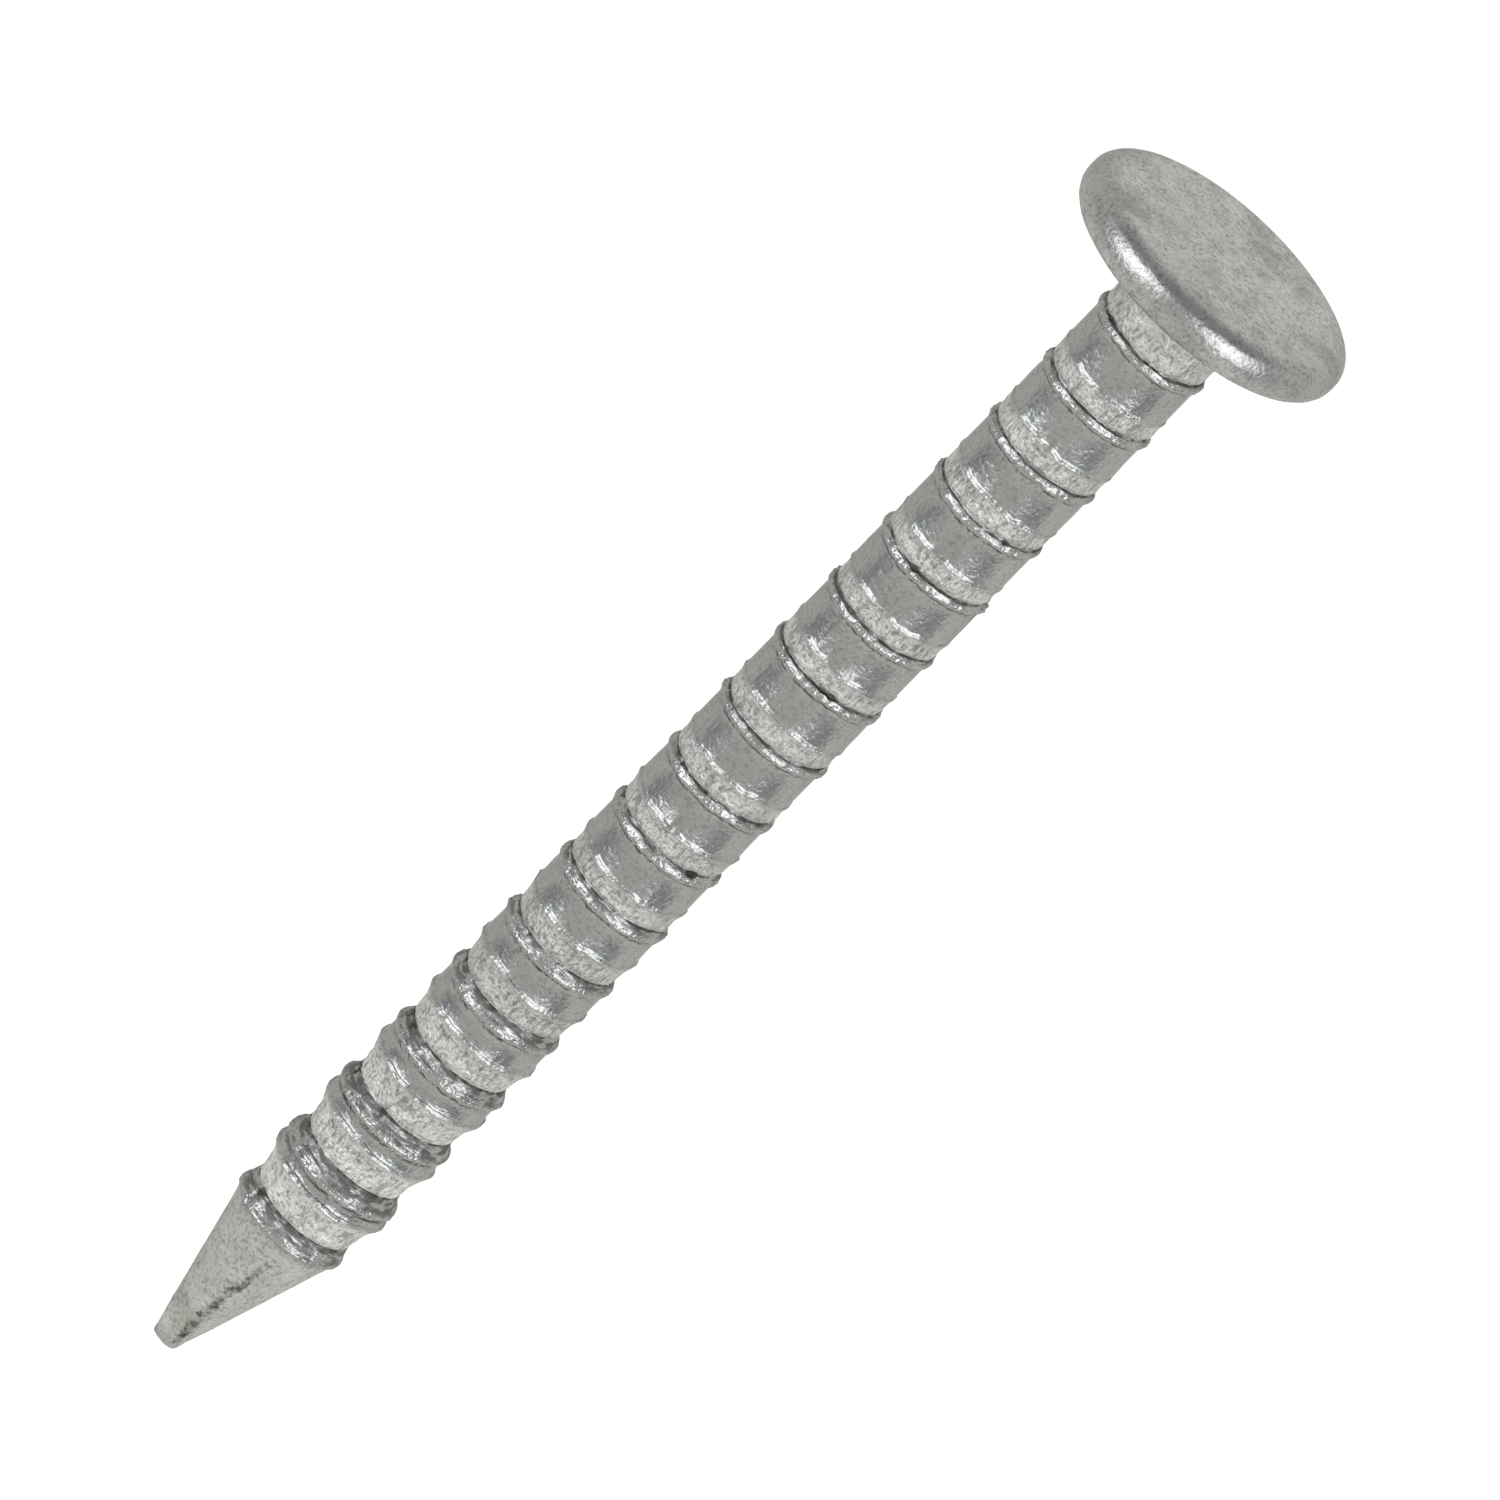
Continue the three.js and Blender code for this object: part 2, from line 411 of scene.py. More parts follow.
def head_rows():
    """The head: its flat underside, the rounded rim, and the face in to the middle.

    The rim's upper rounding is an ellipse that reaches further over the face than the CAD
    arc does, and the face still rises a little inside it, because the heading die leaves the
    edge of the face softly turned down. The rim is matt below its widest place.
    """
    outer, flat, top = CAD["head_radius"], CAD["flat_radius"], CAD["head_thickness"]
    rounding = outer - flat
    start = CAD["shank_radius"] - CAD["neck"]
    rows = [row(0.0, start + 0.05, groove=0.8)]
    rows += [row(0.0, start + part * (flat - start), groove=0.8) for part in (0.5, 1.0)]
    for angle in np.radians((18, 36, 54, 72, 90)):
        height = rounding * (1.0 - math.cos(angle))
        radius = flat + rounding * math.sin(angle)
        rows.append(row(height, radius, face=0.45 + 0.35 * math.cos(angle), worn=1.0))
    reach = RIM_REACH * rounding
    for degrees in (8, 18, 29, 40, 51, 62, 73, 83):
        angle = math.radians(degrees)
        height = top - rounding + rounding * math.sin(angle)
        radius = outer - reach * (1.0 - math.cos(angle))
        matt_above = 0.8 * ease((degrees - 45.0) / 40.0)
        matt_below = 0.35 * (1.0 - ease(degrees / 14.0))
        rows.append(row(height, radius, face=0.05 + matt_above + matt_below, worn=1.0))
    inner = outer - reach
    for part in (0.98, 0.92, 0.84, 0.74, 0.62, 0.48, 0.34, 0.20, 0.08):
        sink = 0.025 * (1.0 - ease((0.99 - part) / 0.3))
        height = top + FACE_RISE - sink
        rows.append(row(height, part * inner, face=1.0, worn=ease(4.0 * part - 2.8)))
    return rows


def profile_table(shape):
    """All the rows in order, as a dictionary of columns, one number for each row."""
    rows = point_rows(shape)
    start = CAD["rings"][0][0]
    for number, (foot, lip, bottom, middle, end) in enumerate(CAD["rings"]):
        if number > 0:
            rows += land_rows(number, start, foot, lip)
        rows += groove_rows(number, lip, bottom, middle, end)
        start = end
    rows += neck_rows() + head_rows()
    table = np.array(rows)
    return {field: table[:, place:place + 1] for place, field in enumerate(FIELDS)}


# ---------------------------------------------------------------------------------------
# The surface
# ---------------------------------------------------------------------------------------

RIDGE_WANDER = 0.11  # radians by which a ridge of the point strays from side to side
RIDGE_TURN = 0.26  # radians by which it turns in the first quarter of the point
FLAT_SHARE = 0.89  # distance of a flat from the axis at the tip, as a share of the radius
FLAT_GAIN = 0.10  # how much that share grows towards the base
RIDGE_POWER = 22.0  # sharpness of the ridge between two flats


def flatten_point(table, angle, shape):
    """The flats of the point: share of the cone's radius, burr height, and dirt and painted
    shade on the ridges.

    A flat at distance d from the axis is met at d / cos(a), where a is the angle from the
    middle of the flat. The point follows whichever of the cone and the flat is nearer,
    blended by a high power so that the ridge is soft. The ridges turn a little near the tip
    and wander on from there, and the burr is strongest on the two where the pinching dies
    meet. The burr and the dirt and painted shade fall off as a bell curve on each side of the
    ridge.
    """
    height = table["height"]
    along = (height - CAD["end"]) / (CAD["point_base"] - CAD["end"])
    same_all_round = np.zeros_like(angle)
    wander = RIDGE_WANDER * rough_noise(same_all_round, height, 4, 0.3, shape.seed + 40)
    wander = wander + RIDGE_TURN * ease(4.0 * along)
    quarter = TURN / POINT_SIDES
    from_flat = np.mod(angle + wander + 0.5 * quarter, quarter) - 0.5 * quarter
    flat = (FLAT_SHARE + FLAT_GAIN * ease(along)) / np.cos(from_flat)
    share = (1.0 + flat ** -RIDGE_POWER) ** (-1.0 / RIDGE_POWER)
    from_ridge = (0.5 * quarter - np.abs(from_flat)) * table["radius"]
    middle = ease(10.0 * along) * ease(8.0 * (1.0 - along))
    lumps = rough_noise(angle, height, 26, 0.22, shape.seed + 41)
    meeting = 0.2 + 0.8 * np.cos(angle + 0.25 * math.pi) ** 2
    ridge = np.exp(-((from_ridge / 0.07) ** 2)) * middle
    burr = shape.ridge_burr / MM * ridge * (0.3 + 1.4 * lumps) * meeting
    # Dirt and painted shade along the ridges: a dark line that fades on each side of the ridge.
    line = np.exp(-((from_ridge / 0.17) ** 2)) * middle
    ridge_dirt_and_shade = np.minimum(0.95 * line * (1.0 + 0.45 * lumps) * meeting, 0.74)
    return 1.0 + table["point"] * (share - 1.0), table["point"] * burr, table["point"] * ridge_dirt_and_shade


def along_normal(height, radius):
    """Outward directions of the profile's rows, as shares along the radius and the height."""
    rise, spread = np.gradient(height, axis=0), np.gradient(radius, axis=0)
    size = np.hypot(rise, spread) + 1e-9
    return rise / size, -spread / size


def surface_push(table, angle, height, shape):
    """How far the surface is pushed out along its normal, in millimetres, and its pockets.

    The sum of the waves of the wire, the beads on the lips and edges, the crust under the
    lips, the roughness and the wrinkles of the grooves, the pockets in the shoulders, the
    lumps of zinc, and the dents of the head. Each is a noise times the row's share of it.
    """
    seed = shape.seed
    on_shank = table["height"] < CAD["neck"]
    waves = shape.wire_waves / MM * on_shank * tube_noise(angle, height, 6, 2.6, seed + 10)
    strength = 0.75 + 0.7 * tube_noise(angle, height, 11, 0.9, seed + 14)
    beads = rough_noise(angle, height, 64, 0.11, seed + 11)
    streaks = rough_noise(angle, height, 22, 0.10, seed + 12)
    near_point = ease(1.0 - table["ring"] / 7.0)
    beads = beads + near_point * (streaks - beads)
    crust = table["scale"] * streaks
    lip = table["lip"] * (beads + 0.4 * np.abs(beads)) * strength + crust
    lip = shape.lip_lumps / MM * lip
    edge = rough_noise(angle, height, 34, 0.2, seed + 15) + 0.2
    edge = table["edge"] * shape.edge_lumps / MM * edge
    pits = rough_noise(angle, height, 48, 0.16, seed + 17)
    folds = ragged_noise(angle, height, 88, 0.9, seed + 20)
    groove = shape.groove_lumps / MM * (table["groove"] * pits + 1.6 * table["wrinkle"] * folds)
    holes = ease(2.4 * rough_noise(angle, table["ring"] * 3.0, 17, 1.0, seed + 33) - 0.65)
    pocket = table["pocket"] * holes
    lumps = rough_noise(angle, height, 22, 0.35, seed + 23)
    dross = on_shank * (1.0 - 0.8 * table["point"]) * shape.dross_height / MM
    dross = dross * np.maximum(lumps - 0.34, 0.0) / 0.4
    on_head = table["height"] >= 0.0
    dents = rough_noise(angle, 3.0 * table["radius"], 9, 2.0, seed + 27)
    dents = dents * on_head * shape.rim_dents / MM * (1.0 - 0.5 * table["face"])
    push = waves + lip + edge + groove + dross + dents - shape.pocket_depth / MM * pocket
    return push, pocket


def nail_surface(shape):
    """Points of the nail's surface and its feature masks, on a grid of rows and columns.

    Each row of the profile is swept round the axis. A ring's edges sway up and down with
    the angle, the flats are pressed into the point, and the surface is pushed along its
    normal by its lumps. The point leans evenly off the axis towards its end, and the head is
    shifted and tilted as a whole, all in one upright plane.
    """
    table = profile_table(shape)
    seed = shape.seed
    angle = (np.arange(COLUMNS) * TURN / COLUMNS)[None, :]
    ring = 3.0 * table["ring"]
    ragged = 0.6 * rough_noise(angle, ring, 13, 1.0, seed + 1, octaves=2)
    zigzag = 0.2 + 0.35 * ease(table["ring"] / 7.0)
    ragged = ragged + zigzag * ragged_noise(angle, ring, 46, 1.0, seed + 3)
    shoulder = rough_noise(angle, ring, 7, 1.0, seed + 5) + 0.5 * np.cos(angle - 1.0)
    height = table["height"] + table["edge_sway"] * shape.edge_wander / MM * ragged
    height = height + table["shoulder_sway"] * shape.shoulder_wander / MM * shoulder
    share, burr, ridge_dirt_and_shade = flatten_point(table, angle, shape)
    push, pocket = surface_push(table, angle, height, shape)
    push = push + burr
    out_radius, out_height = along_normal(table["height"], table["radius"])
    radius = table["radius"] * share + push * out_radius
    height = height + push * out_height

    bend_start, end = CAD["point_base"] + 0.6, CAD["end"]
    lean = np.clip((bend_start - height) / (bend_start - end), 0.0, 1.0)
    lean = -shape.tip_lean / MM * lean
    in_head = ease((table["height"] - CAD["neck"]) / (-CAD["neck"]))
    aside = lean - in_head * shape.head_shift / MM
    toward = shape.bend_azimuth
    x = radius * np.cos(angle) + aside * math.cos(toward)
    y = radius * np.sin(angle) + aside * math.sin(toward)
    slope = in_head * math.tan(shape.head_tilt)
    height = height + slope * (x * math.cos(toward) + y * math.sin(toward))

    # The grime mask is grime and painted shade: in the crevices, the pockets, the crease at the
    # tip, the fillet and along the point's ridges; the rows' share of it is patchy round the
    # nail.
    grime_and_shade_patches = ease(0.75 + 0.9 * rough_noise(angle, height, 30, 0.5, seed + 30))
    whole = np.ones_like(angle)
    masks = {
        "groove": table["groove"] * whole,
        "lip": np.clip(table["lip"] + 0.7 * table["edge"], 0.0, 1.0) * whole,
        "grime": np.clip(table["grime"] * grime_and_shade_patches + pocket + 0.9 * ridge_dirt_and_shade, 0.0, 1.0),
        "scale": table["scale"] * whole,
        "wrinkle": table["wrinkle"] * whole,
        "face": table["face"] * whole,
        "worn": table["worn"] * whole,
    }
    return np.stack([x, y, height], axis=-1) * MM, masks


def close_grid(name, grid, masks):
    """A closed mesh from a grid of rows and columns that is wrapped round the axis.

    Neighbouring rows are joined by four-sided faces. The first and the last row close on a
    point at their own middle, with a fan of triangles.
    """
    rows, columns = grid.shape[:2]
    poles = np.stack([grid[0].mean(axis=0), grid[-1].mean(axis=0)])
    points = np.concatenate([grid.reshape(-1, 3), poles])
    index = np.arange(rows * columns).reshape(rows, columns)
    beside = np.roll(index, -1, axis=1)
    quads = np.stack([index[:-1], beside[:-1], beside[1:], index[1:]], axis=-1).reshape(-1, 4)
    low, high = np.full(columns, rows * columns), np.full(columns, rows * columns + 1)
    bottom = np.stack([low, beside[0], index[0]], axis=-1)
    top = np.stack([high, index[-1], beside[-1]], axis=-1)
    triangles = np.concatenate([bottom, top])
    corners = np.concatenate([quads.ravel(), triangles.ravel()])
    starts = np.concatenate([
        4 * np.arange(len(quads)),
        4 * len(quads) + 3 * np.arange(len(triangles)),
    ])
    mesh = bpy.data.meshes.new(name)
    mesh.vertices.add(len(points))
    mesh.vertices.foreach_set("co", points.astype(np.float32).ravel())
    mesh.loops.add(len(corners))
    mesh.loops.foreach_set("vertex_index", corners.astype(np.int32))
    mesh.polygons.add(len(starts))
    mesh.polygons.foreach_set("loop_start", starts.astype(np.int32))
    for mask, values in masks.items():
        values = np.broadcast_to(values, (rows, columns))
        ends = [values[0].mean(), values[-1].mean()]
        layer = mesh.attributes.new(mask, "FLOAT", "POINT")
        layer.data.foreach_set("value", np.append(values.ravel(), ends).astype(np.float32))
    mesh.update(calc_edges=True)
    mesh.validate()
    mesh.shade_smooth()
    return mesh


# ---------------------------------------------------------------------------------------
# Materials
# ---------------------------------------------------------------------------------------

class Graph:
    """A node tree with short ways to add a node and to join sockets."""

    def __init__(self, tree):
        self.tree = tree
        tree.nodes.clear()

    def node(self, kind, settings=None, **inputs):
        """Adds a node; an input may be a number, a colour or another node's output."""
        made = self.tree.nodes.new(kind)
        for key, value in (settings or {}).items():
            setattr(made, key, value)
        for key, value in inputs.items():
            self.feed(made.inputs[key.replace("_", " ")], value)
        return made

    def feed(self, socket, value):
        if isinstance(value, bpy.types.NodeSocket):
            self.tree.links.new(value, socket)
        else:
            socket.default_value = value

    def math(self, operation, *values, clamp=False):
        """The result of a Math node on one to three numbers or outputs."""
        made = self.tree.nodes.new("ShaderNodeMath")
        made.operation, made.use_clamp = operation, clamp
        for socket, value in zip(made.inputs, values):
            self.feed(socket, value)
        return made.outputs[0]

    def times(self, first, second):
        return self.math("MULTIPLY", first, second)

    def add(self, first, *others):
        """The sum of two or more numbers or outputs."""
        total = first
        for other in others:
            total = self.math("ADD", total, other)
        return total

    def blend(self, share, first, second):
        """A colour between first and second."""
        made = self.tree.nodes.new("ShaderNodeMix")
        made.data_type = "RGBA"
        self.feed(made.inputs["Factor"], share)
        self.feed(made.inputs["A"], first)
        self.feed(made.inputs["B"], second)
        return made.outputs["Result"]

    def ramp(self, value, low, high, start=0.0, end=1.0):
        """value from low to high becomes start to end along an S-shaped step."""
        made = self.node(
            "ShaderNodeMapRange", {"interpolation_type": "SMOOTHSTEP", "clamp": True},
            Value=value, From_Min=low, From_Max=high, To_Min=start, To_Max=end,
        )
        return made.outputs["Result"]

    def noise(self, vector, scale, detail=3.0, roughness=0.5):
        """Noise between 0 and 1, with scale waves in one unit of the vector."""
        made = self.node(
            "ShaderNodeTexNoise", Vector=vector, Scale=scale, Detail=detail, Roughness=roughness
        )
        return made.outputs["Fac"]

    def along(self, vector, way):
        """How far a vector reaches along a fixed direction."""
        made = self.node("ShaderNodeVectorMath", {"operation": "DOT_PRODUCT"})
        self.feed(made.inputs[0], vector)
        self.feed(made.inputs[1], way)
        return made.outputs["Value"]

    def mask(self, name):
        """A mask that is stored on the mesh."""
        return self.node("ShaderNodeAttribute", {"attribute_name": name}).outputs["Fac"]


def opaque(colour):
    """A colour setting with an alpha of 1."""
    return (*colour, 1.0)


def darker(colour, share):
    """A share of a colour setting, with an alpha of 1."""
    return tuple(share * value for value in colour) + (1.0,)


def new_group(name, inputs, outputs):
    """An empty node group: inputs is a list of (name, default) and outputs a list of names."""
    group = bpy.data.node_groups.new(name, "ShaderNodeTree")
    graph = Graph(group)
    for label, default in inputs:
        kind = "NodeSocketVector" if default is None else "NodeSocketFloat"
        socket = group.interface.new_socket(label, in_out="INPUT", socket_type=kind)
        if default is not None:
            socket.default_value = default
    for label in outputs:
        group.interface.new_socket(label, in_out="OUTPUT", socket_type="NodeSocketFloat")
    given = graph.node("NodeGroupInput").outputs
    return graph, given, graph.node("NodeGroupOutput").inputs


def specks_group():
    """Specks: small dark flecks where fine noise dips, bunched together by coarser noise."""
    graph, given, result = new_group(
        "Specks", [("Vector", None), ("Scale", 9.0), ("Amount", 0.5)], ["Mask"]
    )
    fine = graph.noise(given["Vector"], given["Scale"], 3.0, 0.6)
    wide = graph.noise(given["Vector"], graph.times(given["Scale"], 0.18), 2.0)
    level = graph.math("MULTIPLY_ADD", wide, 0.35, 0.32)
    flecks = graph.ramp(graph.math("SUBTRACT", level, fine), 0.0, 0.12)
    mask = graph.math("MULTIPLY", flecks, given["Amount"], clamp=True)
    graph.feed(result["Mask"], mask)
    return graph.tree


def mottle_group():
    """Mottle: the cloudy light and dull zinc, coarse clouds with a finer grain over them."""
    graph, given, result = new_group(
        "Zinc mottle", [("Vector", None), ("Scale", 3.0), ("Contrast", 1.0)], ["Mask", "Grain"]
    )
    clouds = graph.noise(given["Vector"], given["Scale"], 4.0, 0.6)
    grain = graph.noise(given["Vector"], graph.times(given["Scale"], 6.0), 3.0, 0.6)
    both = graph.add(graph.times(clouds, 0.55), graph.times(grain, 0.45))
    centred = graph.math("SUBTRACT", both, 0.5)
    wide = graph.times(centred, graph.times(given["Contrast"], 4.0))
    graph.feed(result["Mask"], graph.math("ADD", wide, 0.5, clamp=True))
    graph.feed(result["Grain"], grain)
    return graph.tree


def pattern_spaces(graph):
    """Places on the nail in millimetres: as they are, squeezed along it and squeezed across.

    A pattern in the squeezed spaces comes out long and thin: drawn runs along the nail and
    rolled runs round it.
    """
    here = graph.node("ShaderNodeTexCoord").outputs["Object"]

    def squeezed(across, along):
        scale = (across / MM, across / MM, along / MM)
        return graph.node("ShaderNodeMapping", Vector=here, Scale=scale).outputs[0]

    return SimpleNamespace(
        even=squeezed(1.0, 1.0), drawn=squeezed(1.0, 0.3), rolled=squeezed(0.25, 1.0)
    )


def stored_masks(graph):
    """The masks stored on the mesh, and what is matt or mottled because of them."""
    names = ("groove", "lip", "grime", "face", "scale", "worn", "wrinkle")
    masks = SimpleNamespace(**{name: graph.mask(name) for name in names})
    masks.matt = graph.math("MAXIMUM", masks.groove, masks.face)
    masks.mottled = graph.math("MAXIMUM", masks.matt, masks.worn)
    return masks


def shared_patterns(graph, masks, spaces):
    """The patterns that show in the colour as well as in the gloss or the relief."""
    mottle = graph.node(
        "ShaderNodeGroup", {"node_tree": mottle_group()}, Vector=spaces.even, Scale=1.6
    )
    flakes = graph.ramp(graph.noise(spaces.rolled, 9.0, 3.0), 0.42, 0.55, 0.05, 1.0)
    return SimpleNamespace(
        clouds=mottle.outputs["Mask"],
        grain=mottle.outputs["Grain"],
        fine=graph.noise(spaces.even, 12.0, 4.0, 0.6),
        rolling=graph.noise(spaces.rolled, 15.0, 2.0),
        scaly=graph.times(masks.scale, flakes),
    )


def zinc_colour(graph, masks, spaces, shared, colours):
    """The zinc's colour, from the clean metal down to what lies on it, with painted shade.

    Clean zinc is half-bright on the lands, pale where it is matt and palest in the grooves
    near the point. Over it come dull clouds, painted shade in the pits of the fine relief,
    the scale under the lips, the bloom on the face, flecks, strokes along the grooves, and
    grime and painted shade in the crevices and pockets, with a torn edge.
    """
    up_nail = graph.node("ShaderNodeSeparateXYZ", Vector=spaces.even).outputs["Z"]
    # The grooves are paler towards the point.
    paler_near_point = graph.times(masks.groove, graph.ramp(up_nail, -19.0, -26.0))
    colour = graph.blend(masks.matt, opaque(colours.zinc), opaque(colours.zinc_matt))
    colour = graph.blend(paler_near_point, colour, opaque(colours.zinc_pale))

    dullness = graph.times(shared.clouds, graph.ramp(masks.mottled, 0.0, 1.0, 0.2, 0.42))
    broad = graph.ramp(graph.noise(spaces.even, 0.9, 3.0, 0.6), 0.38, 0.62)
    broad = graph.times(broad, graph.math("MAXIMUM", masks.worn, graph.times(masks.face, 0.4)))
    dullness = graph.add(dullness, graph.times(broad, 0.25))
    colour = graph.blend(dullness, colour, opaque(colours.zinc_dull))

    dark = darker(colours.zinc_dull, 0.5)
    # Painted shade: the colour darkens where the fine relief and the rolled lines dip, as shade
    # in their pits.
    painted_pit_shade = graph.add(
        graph.ramp(shared.fine, 0.5, 0.3, 0.0, 0.32),
        graph.ramp(shared.rolling, 0.48, 0.33, 0.0, 0.12),
    )
    colour = graph.blend(painted_pit_shade, colour, dark)
    colour = graph.blend(shared.scaly, colour, dark)

    bloom = graph.ramp(graph.noise(spaces.even, 0.8), 0.56, 0.72)
    bloom = graph.times(bloom, graph.times(masks.face, 0.35))
    colour = graph.blend(bloom, colour, opaque(colours.stain))

    specks = specks_group()
    flecks = graph.node(
        "ShaderNodeGroup", {"node_tree": specks}, Vector=spaces.even, Scale=12.0,
        Amount=graph.ramp(masks.mottled, 0.0, 1.0, 0.15, 0.45),
    )
    colour = graph.blend(graph.times(flecks.outputs[0], 0.7), colour, dark)
    in_groove = graph.ramp(masks.groove, 0.0, 1.0, 0.06, 0.6)
    strokes = graph.node(
        "ShaderNodeGroup", {"node_tree": specks}, Vector=spaces.drawn, Scale=12.0,
        Amount=graph.add(in_groove, graph.times(masks.wrinkle, 0.4)),
    )
    colour = graph.blend(graph.times(strokes.outputs[0], 0.6), colour, dark)

    # Grime and painted shade in the crevices, the pockets and along the point's ridges, with a
    # torn edge.
    torn = graph.math("SUBTRACT", graph.noise(spaces.even, 7.0, 3.0, 0.6), 0.5)
    torn = graph.add(masks.grime, graph.times(torn, 1.1))
    return graph.blend(graph.ramp(torn, 0.42, 0.85, 0.0, 0.9), colour, opaque(colours.grime))


def zinc_roughness(graph, masks, shared, colours):
    """Glossy lands, glossier lips, and rougher grooves, face, scale and grime and painted
    shade.
    """
    gloss = graph.ramp(masks.matt, 0.0, 1.0, colours.land_roughness, colours.groove_roughness)
    grain = graph.times(graph.math("SUBTRACT", shared.grain, 0.5), 0.25)
    roughness = graph.add(gloss, grain, graph.times(masks.grime, 0.2))
    roughness = graph.math("SUBTRACT", roughness, graph.times(masks.lip, 0.08))
    roughness = graph.add(roughness, graph.times(shared.scaly, 0.26))
    return graph.math("MAXIMUM", roughness, 0.08)


def zinc_relief(graph, masks, spaces, shared):
    """Height of the finest relief in millimetres: each pattern times its own height.

    Pits are deepest in the grooves; beads are on the lips, crust is under them, scrapes run
    along the grooves, and the smooth metal between has dimples and hammering.
    """
    even, drawn, rolled = spaces.even, spaces.drawn, spaces.rolled
    pit_height = graph.math("MULTIPLY_ADD", masks.groove, 0.034, 0.012)
    pit_height = graph.add(pit_height, graph.times(masks.face, 0.012))
    smooth = graph.math("SUBTRACT", 1.0, masks.mottled)
    return graph.add(
        graph.times(shared.fine, pit_height),
        graph.times(graph.noise(even, 9.0, 2.0), graph.times(masks.lip, 0.04)),
        graph.times(graph.noise(rolled, 10.0, 3.0), graph.times(masks.scale, 0.09)),
        graph.times(graph.noise(drawn, 16.0, 2.0), graph.times(masks.groove, 0.028)),
        graph.times(graph.noise(even, 3.0, 2.0), 0.012),
        graph.times(graph.noise(even, 5.5, 2.0), graph.times(smooth, 0.013)),
        graph.times(shared.rolling, 0.0015),
    )


def galvanised_steel(colours):
    """Hot-dip zinc: half-gloss lands, matt mottled grooves and face, dark scaly shoulders."""
    material = bpy.data.materials.new(SLOT)
    material.use_nodes = True
    graph = Graph(material.node_tree)
    masks, spaces = stored_masks(graph), pattern_spaces(graph)
    shared = shared_patterns(graph, masks, spaces)
    relief = zinc_relief(graph, masks, spaces, shared)
    bump = graph.node("ShaderNodeBump", Height=relief, Distance=MM, Strength=1.0)
    shader = graph.node(
        "ShaderNodeBsdfPrincipled", Metallic=1.0, Specular_Tint=(0.7, 0.7, 0.7, 1.0),
        Base_Color=zinc_colour(graph, masks, spaces, shared, colours),
        Roughness=zinc_roughness(graph, masks, shared, colours),
        Normal=bump.outputs["Normal"],
    )
    graph.node("ShaderNodeOutputMaterial", Surface=shader.outputs[0])
    return material


def studio_floor_material():
    """Pale matt card with a faint tooth."""
    material = bpy.data.materials.new("studio_card")
    material.use_nodes = True
    graph = Graph(material.node_tree)
    here = graph.node("ShaderNodeTexCoord").outputs["Object"]
    tooth = graph.ramp(graph.noise(here, 900.0, 2.0), 0.3, 0.7, 0.93, 0.95)
    shade = graph.node("ShaderNodeCombineColor", Red=tooth, Green=tooth, Blue=tooth)
    shader = graph.node("ShaderNodeBsdfPrincipled", Base_Color=shade.outputs[0], Roughness=0.9)
    graph.node("ShaderNodeOutputMaterial", Surface=shader.outputs[0])
    return material


# ---------------------------------------------------------------------------------------
# Studio
# ---------------------------------------------------------------------------------------

def looking_from(azimuth, elevation):
    """Unit vector from the nail to a viewer; azimuth 0 looks along +Y."""
    return Vector((
        math.sin(azimuth) * math.cos(elevation),
        -math.cos(azimuth) * math.cos(elevation),
        math.sin(elevation),
    ))


def nail_middle():
    """Height of the CAD nail's middle."""
    return 0.5 * (cad_box[0].z + cad_box[1].z)


def add_camera(studio):
    """A long lens level with the middle of the nail, leaned so that the nail lies aslant."""
    back = looking_from(studio.azimuth, studio.elevation)
    nail_up = (Vector((0.0, 0.0, 1.0)) - back * back.z).normalized()
    nail_right = nail_up.cross(back)
    right = math.cos(studio.lean) * nail_up + math.sin(studio.lean) * nail_right
    up = math.sin(studio.lean) * nail_up - math.cos(studio.lean) * nail_right
    aim = Vector((0.0, 0.0, nail_middle() + studio.aim_above)) - nail_right * studio.aim_aside
    data = bpy.data.cameras.new("camera")
    data.sensor_width = 36.0
    data.lens = data.sensor_width * studio.camera_distance / studio.picture_width
    data.clip_start, data.clip_end = 0.01, 20.0
    camera = bpy.data.objects.new("camera", data)
    turn = Matrix((right, up, back)).transposed()
    place = Matrix.Translation(aim + back * studio.camera_distance)
    camera.matrix_world = place @ turn.to_4x4()
    bpy.context.scene.collection.objects.link(camera)
    bpy.context.scene.camera = camera


def add_softbox(name, side, studio):
    """An area light that faces the middle of the nail; side is -1 for left and 1 for right."""
    azimuth = studio.azimuth + side * studio.softbox_azimuth
    back = looking_from(azimuth, studio.softbox_elevation)
    width, height = studio.softbox_width, studio.softbox_height
    light = bpy.data.lights.new(name, "AREA")
    light.shape, light.size, light.size_y = "RECTANGLE", width, height
    light.energy = studio.softbox_radiance * math.pi * width * height
    light.color = studio.softbox_colour
    lamp = bpy.data.objects.new(name, light)
    middle = Vector((0.0, 0.0, nail_middle()))
    place = Matrix.Translation(middle + back * studio.softbox_distance)
    lamp.matrix_world = place @ back.to_track_quat("Z", "Y").to_matrix().to_4x4()
    lamp.visible_camera = False
    bpy.context.scene.collection.objects.link(lamp)


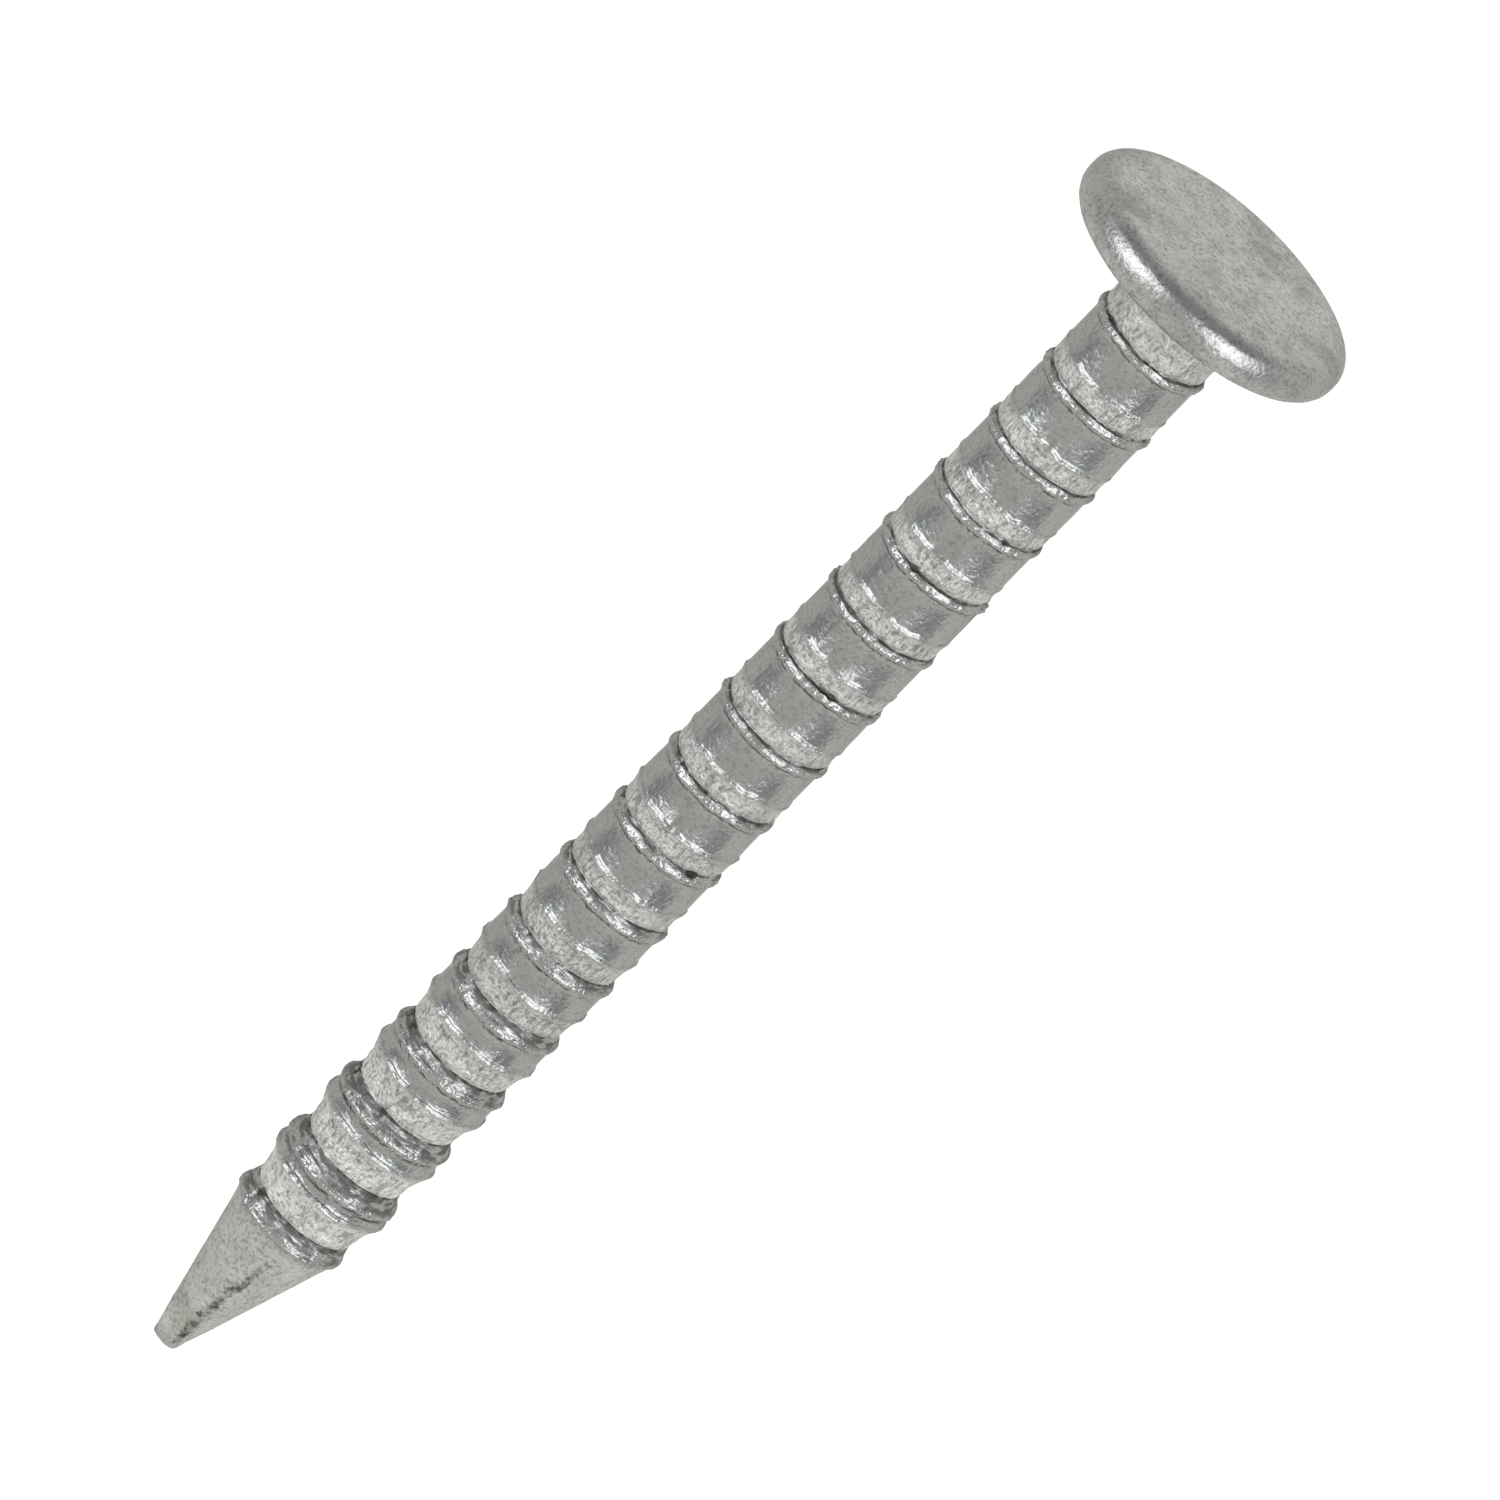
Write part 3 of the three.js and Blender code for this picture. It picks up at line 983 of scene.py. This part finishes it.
def add_world(studio):
    """Surroundings: a pale sweep behind the nail and below it, a dimmer room in front of it
    and a dim ceiling. Only mirror-like rays see them; all other rays see white.
    """
    world = bpy.data.worlds.new("studio")
    world.use_nodes = True
    graph = Graph(world.node_tree)
    toward = graph.node("ShaderNodeTexCoord").outputs["Generated"]
    front = graph.along(toward, looking_from(studio.azimuth, 0.0))
    side = graph.along(toward, looking_from(studio.azimuth + 0.25 * TURN, 0.0))
    up = graph.node("ShaderNodeSeparateXYZ", Vector=toward).outputs["Z"]
    room = graph.blend(
        graph.ramp(front, 0.30, 0.92), opaque(studio.room_side), opaque(studio.room_front)
    )
    card = graph.blend(
        graph.ramp(side, -0.7, 0.7), opaque(studio.card_left), opaque(studio.card_right)
    )
    behind, below = graph.ramp(front, 0.04, -0.03), graph.ramp(up, -0.42, -0.62)
    around = graph.blend(graph.math("MAXIMUM", behind, below), room, card)
    around = graph.blend(graph.ramp(up, 0.6, 0.8), around, opaque(studio.ceiling))
    path = graph.node("ShaderNodeLightPath")
    seen = graph.blend(path.outputs["Is Glossy Ray"], (1.0, 1.0, 1.0, 1.0), around)
    background = graph.node("ShaderNodeBackground", Color=seen, Strength=1.0)
    graph.node("ShaderNodeOutputWorld", Surface=background.outputs[0])
    bpy.context.scene.world = world
    bpy.context.scene.view_settings.view_transform = "Standard"


FLOOR_SIDES = 96
FLOOR_RADIUS = 1.5  # metres


def add_floor(studio):
    """A round pale floor below the point."""
    turns = np.linspace(0.0, TURN, FLOOR_SIDES, endpoint=False)
    height = np.full(FLOOR_SIDES, cad_box[0].z - studio.floor_drop)
    points = np.stack([FLOOR_RADIUS * np.cos(turns), FLOOR_RADIUS * np.sin(turns), height], -1)
    mesh = bpy.data.meshes.new("studio_floor")
    mesh.from_pydata(points.tolist(), [], [list(range(FLOOR_SIDES))])
    mesh.materials.append(studio_floor_material())
    floor = bpy.data.objects.new("studio_floor", mesh)
    floor.visible_glossy = False
    bpy.context.scene.collection.objects.link(floor)


# ---------------------------------------------------------------------------------------
# Operators and panel
# ---------------------------------------------------------------------------------------

class NAIL_OT_build_nail(bpy.types.Operator):
    """Build the galvanised nail in place of its plain CAD solid"""

    bl_idname = "nail.build_nail"
    bl_label = "Galvanised nail"

    def execute(self, context):
        grid, masks = nail_surface(context.scene.nail_shape)
        mesh = close_grid("galvanised_nail", grid, masks)
        mesh.materials.append(galvanised_steel(context.scene.nail_colours))
        nail = bpy.data.objects.new("galvanised_nail", mesh)
        context.scene.collection.objects.link(nail)
        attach(nail, "root")
        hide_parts(NODE)
        return {"FINISHED"}


class NAIL_OT_build_studio(bpy.types.Operator):
    """Build the pale floor, the soft lights, the surroundings and the camera"""

    bl_idname = "nail.build_studio"
    bl_label = "Studio"

    def execute(self, context):
        studio = context.scene.nail_studio
        add_world(studio)
        add_floor(studio)
        add_softbox("softbox_left", -1.0, studio)
        add_softbox("softbox_right", 1.0, studio)
        add_camera(studio)
        return {"FINISHED"}


class NAIL_PT_panel(bpy.types.Panel):
    """Lists what can be built and what can be changed"""

    bl_idname = "NAIL_PT_panel"
    bl_label = "Ring-Shank Nail"
    bl_space_type = "VIEW_3D"
    bl_region_type = "UI"
    bl_category = "Nail"

    def draw(self, context):
        for operator, settings in (
            (NAIL_OT_build_nail, (context.scene.nail_shape, context.scene.nail_colours)),
            (NAIL_OT_build_studio, (context.scene.nail_studio,)),
        ):
            self.layout.operator(operator.bl_idname)
            box = self.layout.box()
            for group in settings:
                for setting in group.__annotations__:
                    box.prop(group, setting)


CLASSES = (
    NailShape, NailColours, NailStudio,
    NAIL_OT_build_nail, NAIL_OT_build_studio, NAIL_PT_panel,
)


def register():
    for item in CLASSES:
        bpy.utils.register_class(item)
    bpy.types.Scene.nail_shape = PointerProperty(type=NailShape)
    bpy.types.Scene.nail_colours = PointerProperty(type=NailColours)
    bpy.types.Scene.nail_studio = PointerProperty(type=NailStudio)


def unregister():
    del bpy.types.Scene.nail_studio
    del bpy.types.Scene.nail_colours
    del bpy.types.Scene.nail_shape
    for item in reversed(CLASSES):
        bpy.utils.unregister_class(item)


def main():
    """Builds everything in order."""
    register()
    bpy.ops.nail.build_nail()
    bpy.ops.nail.build_studio()


if __name__ == "__main__":
    main()
